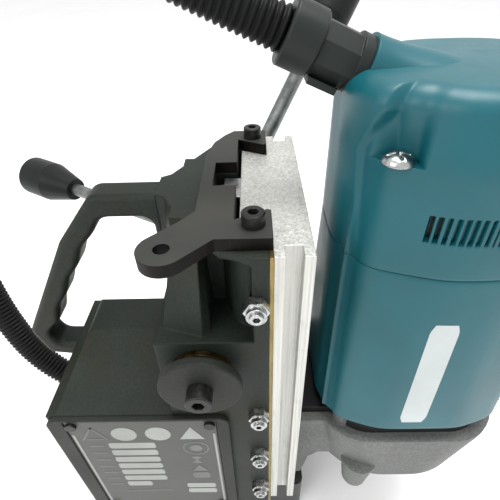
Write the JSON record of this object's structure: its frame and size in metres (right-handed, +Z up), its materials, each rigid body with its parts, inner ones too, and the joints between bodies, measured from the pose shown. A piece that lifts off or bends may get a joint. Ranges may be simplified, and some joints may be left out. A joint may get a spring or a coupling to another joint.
{
  "type": "magnetic base core drill",
  "caption": "Magnetic base core drill: cast column with D-handle and dovetail slide, rack feed with spoked lever, upright motor and gearbox.",
  "frame": {"origin": "centre of the magnet's underside, on the work surface", "axes": "+X towards the motor and arbor, +Z up along the column, +Y towards the feed lever"},
  "size_m": [0.3575, 0.2341, 0.4094],
  "materials": {
    "base_steel": "ground steel with black oxide sides",
    "coil": "copper winding in resin",
    "casting": "dark green-grey textured paint",
    "plate_black": "blackened laser-cut plate",
    "screw_black": "black oxide",
    "brass": "bare brass",
    "zinc": "bright zinc",
    "cover_black": "dark textured paint",
    "label_grey": "printed grey plate",
    "board_green": "circuit board",
    "core_steel": "laminated steel",
    "panel_black": "moulded panel",
    "green_plastic": "moulded button",
    "red_plastic": "moulded button",
    "lamp": "amber lens",
    "bronze": "sintered bronze",
    "shaft_steel": "turned steel",
    "spoke_steel": "satin grey bar",
    "knob_black": "black moulded grip",
    "slide_alloy": "ground aluminium",
    "gearbox_alloy": "grey die casting",
    "ring_black": "black moulded plate",
    "motor_teal": "teal moulded shell",
    "carbon": "carbon",
    "connector_black": "moulded fitting",
    "conduit_black": "corrugated nylon conduit"
  },
  "bodies": {
    "frame": {"magnet_base": "base_steel", "magnet_coil": "coil", "base_bolts": "screw_black", "column_frame": "casting", "carry_handle": "casting", "top_plate": "plate_black", "plate_screws": "screw_black", "wear_strips": "brass", "gib_strip": "brass", "gib_screws": "zinc", "gib_locknuts": "zinc", "side_cover": "cover_black", "rating_plate": "label_grey", "rating_plate_screws": "screw_black", "circuit_board": "board_green", "transformer": "core_steel", "switch_panel": "panel_black", "power_lamp": "lamp", "mains_inlet": "panel_black", "conduit_gland": "panel_black", "shaft_bushes": "bronze", "conduit": "conduit_black"},
    "start_button": {"start_button": "green_plastic"},
    "stop_button": {"stop_button": "red_plastic"},
    "magnet_rocker": {"magnet_rocker": "panel_black"},
    "feed_lever": {"pinion_shaft": "shaft_steel", "hub_cap_disc": "cover_black", "hub_cap_screw": "screw_black", "lever_hub": "cover_black", "lever_spokes": "spoke_steel", "lever_knobs": "knob_black"},
    "carriage": {"slide": "slide_alloy", "feed_rack": "shaft_steel", "rack_screws": "screw_black", "gear_housing": "gearbox_alloy", "bearing_plate": "ring_black", "motor_housing": "motor_teal", "motor_cap": "motor_teal", "cap_screws": "zinc", "stator_core": "core_steel", "field_coils": "coil", "motor_bearings": "shaft_steel", "brush_holders": "panel_black", "carbon_brushes": "carbon", "conduit_connector": "connector_black", "conduit_nut": "connector_black", "conduit_clip": "connector_black", "gear_bearings": "shaft_steel", "spindle_bearings": "shaft_steel"},
    "armature": {"armature": "core_steel", "commutator": "bronze", "cooling_fan": "panel_black", "motor_pinion": "shaft_steel"},
    "countershaft": {"countershaft": "shaft_steel", "stage_gear": "shaft_steel"},
    "spindle": {"spindle": "shaft_steel", "spindle_gear": "shaft_steel", "arbor_grub_screws": "zinc"}
  },
  "joints": [
    {"name": "carriage_feed", "type": "slide", "parent": "frame", "child": "carriage", "axis": [0, 0, 1], "range_m": [0, 0.14], "deforming": ["conduit"]},
    {"name": "feed_turn", "type": "hinge", "parent": "frame", "child": "feed_lever", "pos_m": [0.021, 0, 0.23], "axis": [0, -1, 0], "range_deg": [0, 764.5]},
    {"name": "armature_spin", "type": "hinge", "parent": "carriage", "child": "armature", "pos_m": [0.144, 0, 0.15], "axis": [0, 0, 1], "continuous": true},
    {"name": "countershaft_spin", "type": "hinge", "parent": "carriage", "child": "countershaft", "pos_m": [0.111, 0, 0.13], "axis": [0, 0, 1], "continuous": true},
    {"name": "spindle_spin", "type": "hinge", "parent": "carriage", "child": "spindle", "pos_m": [0.144, 0, 0.07], "axis": [0, 0, 1], "continuous": true},
    {"name": "start_press", "type": "slide", "parent": "frame", "child": "start_button", "axis": [1, 0, 0], "range_m": [0, 0.004], "stiffness_N_per_m": 300},
    {"name": "stop_press", "type": "slide", "parent": "frame", "child": "stop_button", "axis": [1, 0, 0], "range_m": [0, 0.004], "stiffness_N_per_m": 300},
    {"name": "magnet_switch", "type": "hinge", "parent": "frame", "child": "magnet_rocker", "pos_m": [-0.069, 0.0065, 0.147], "axis": [0, 1, 0], "range_deg": [0, 18]}
  ],
  "couplings": [
    {"joint": "feed_turn", "follows": "carriage_feed", "rad_per_m": 95.238},
    {"joint": "countershaft_spin", "follows": "armature_spin", "ratio": -0.22222},
    {"joint": "spindle_spin", "follows": "armature_spin", "ratio": 0.057143}
  ]
}
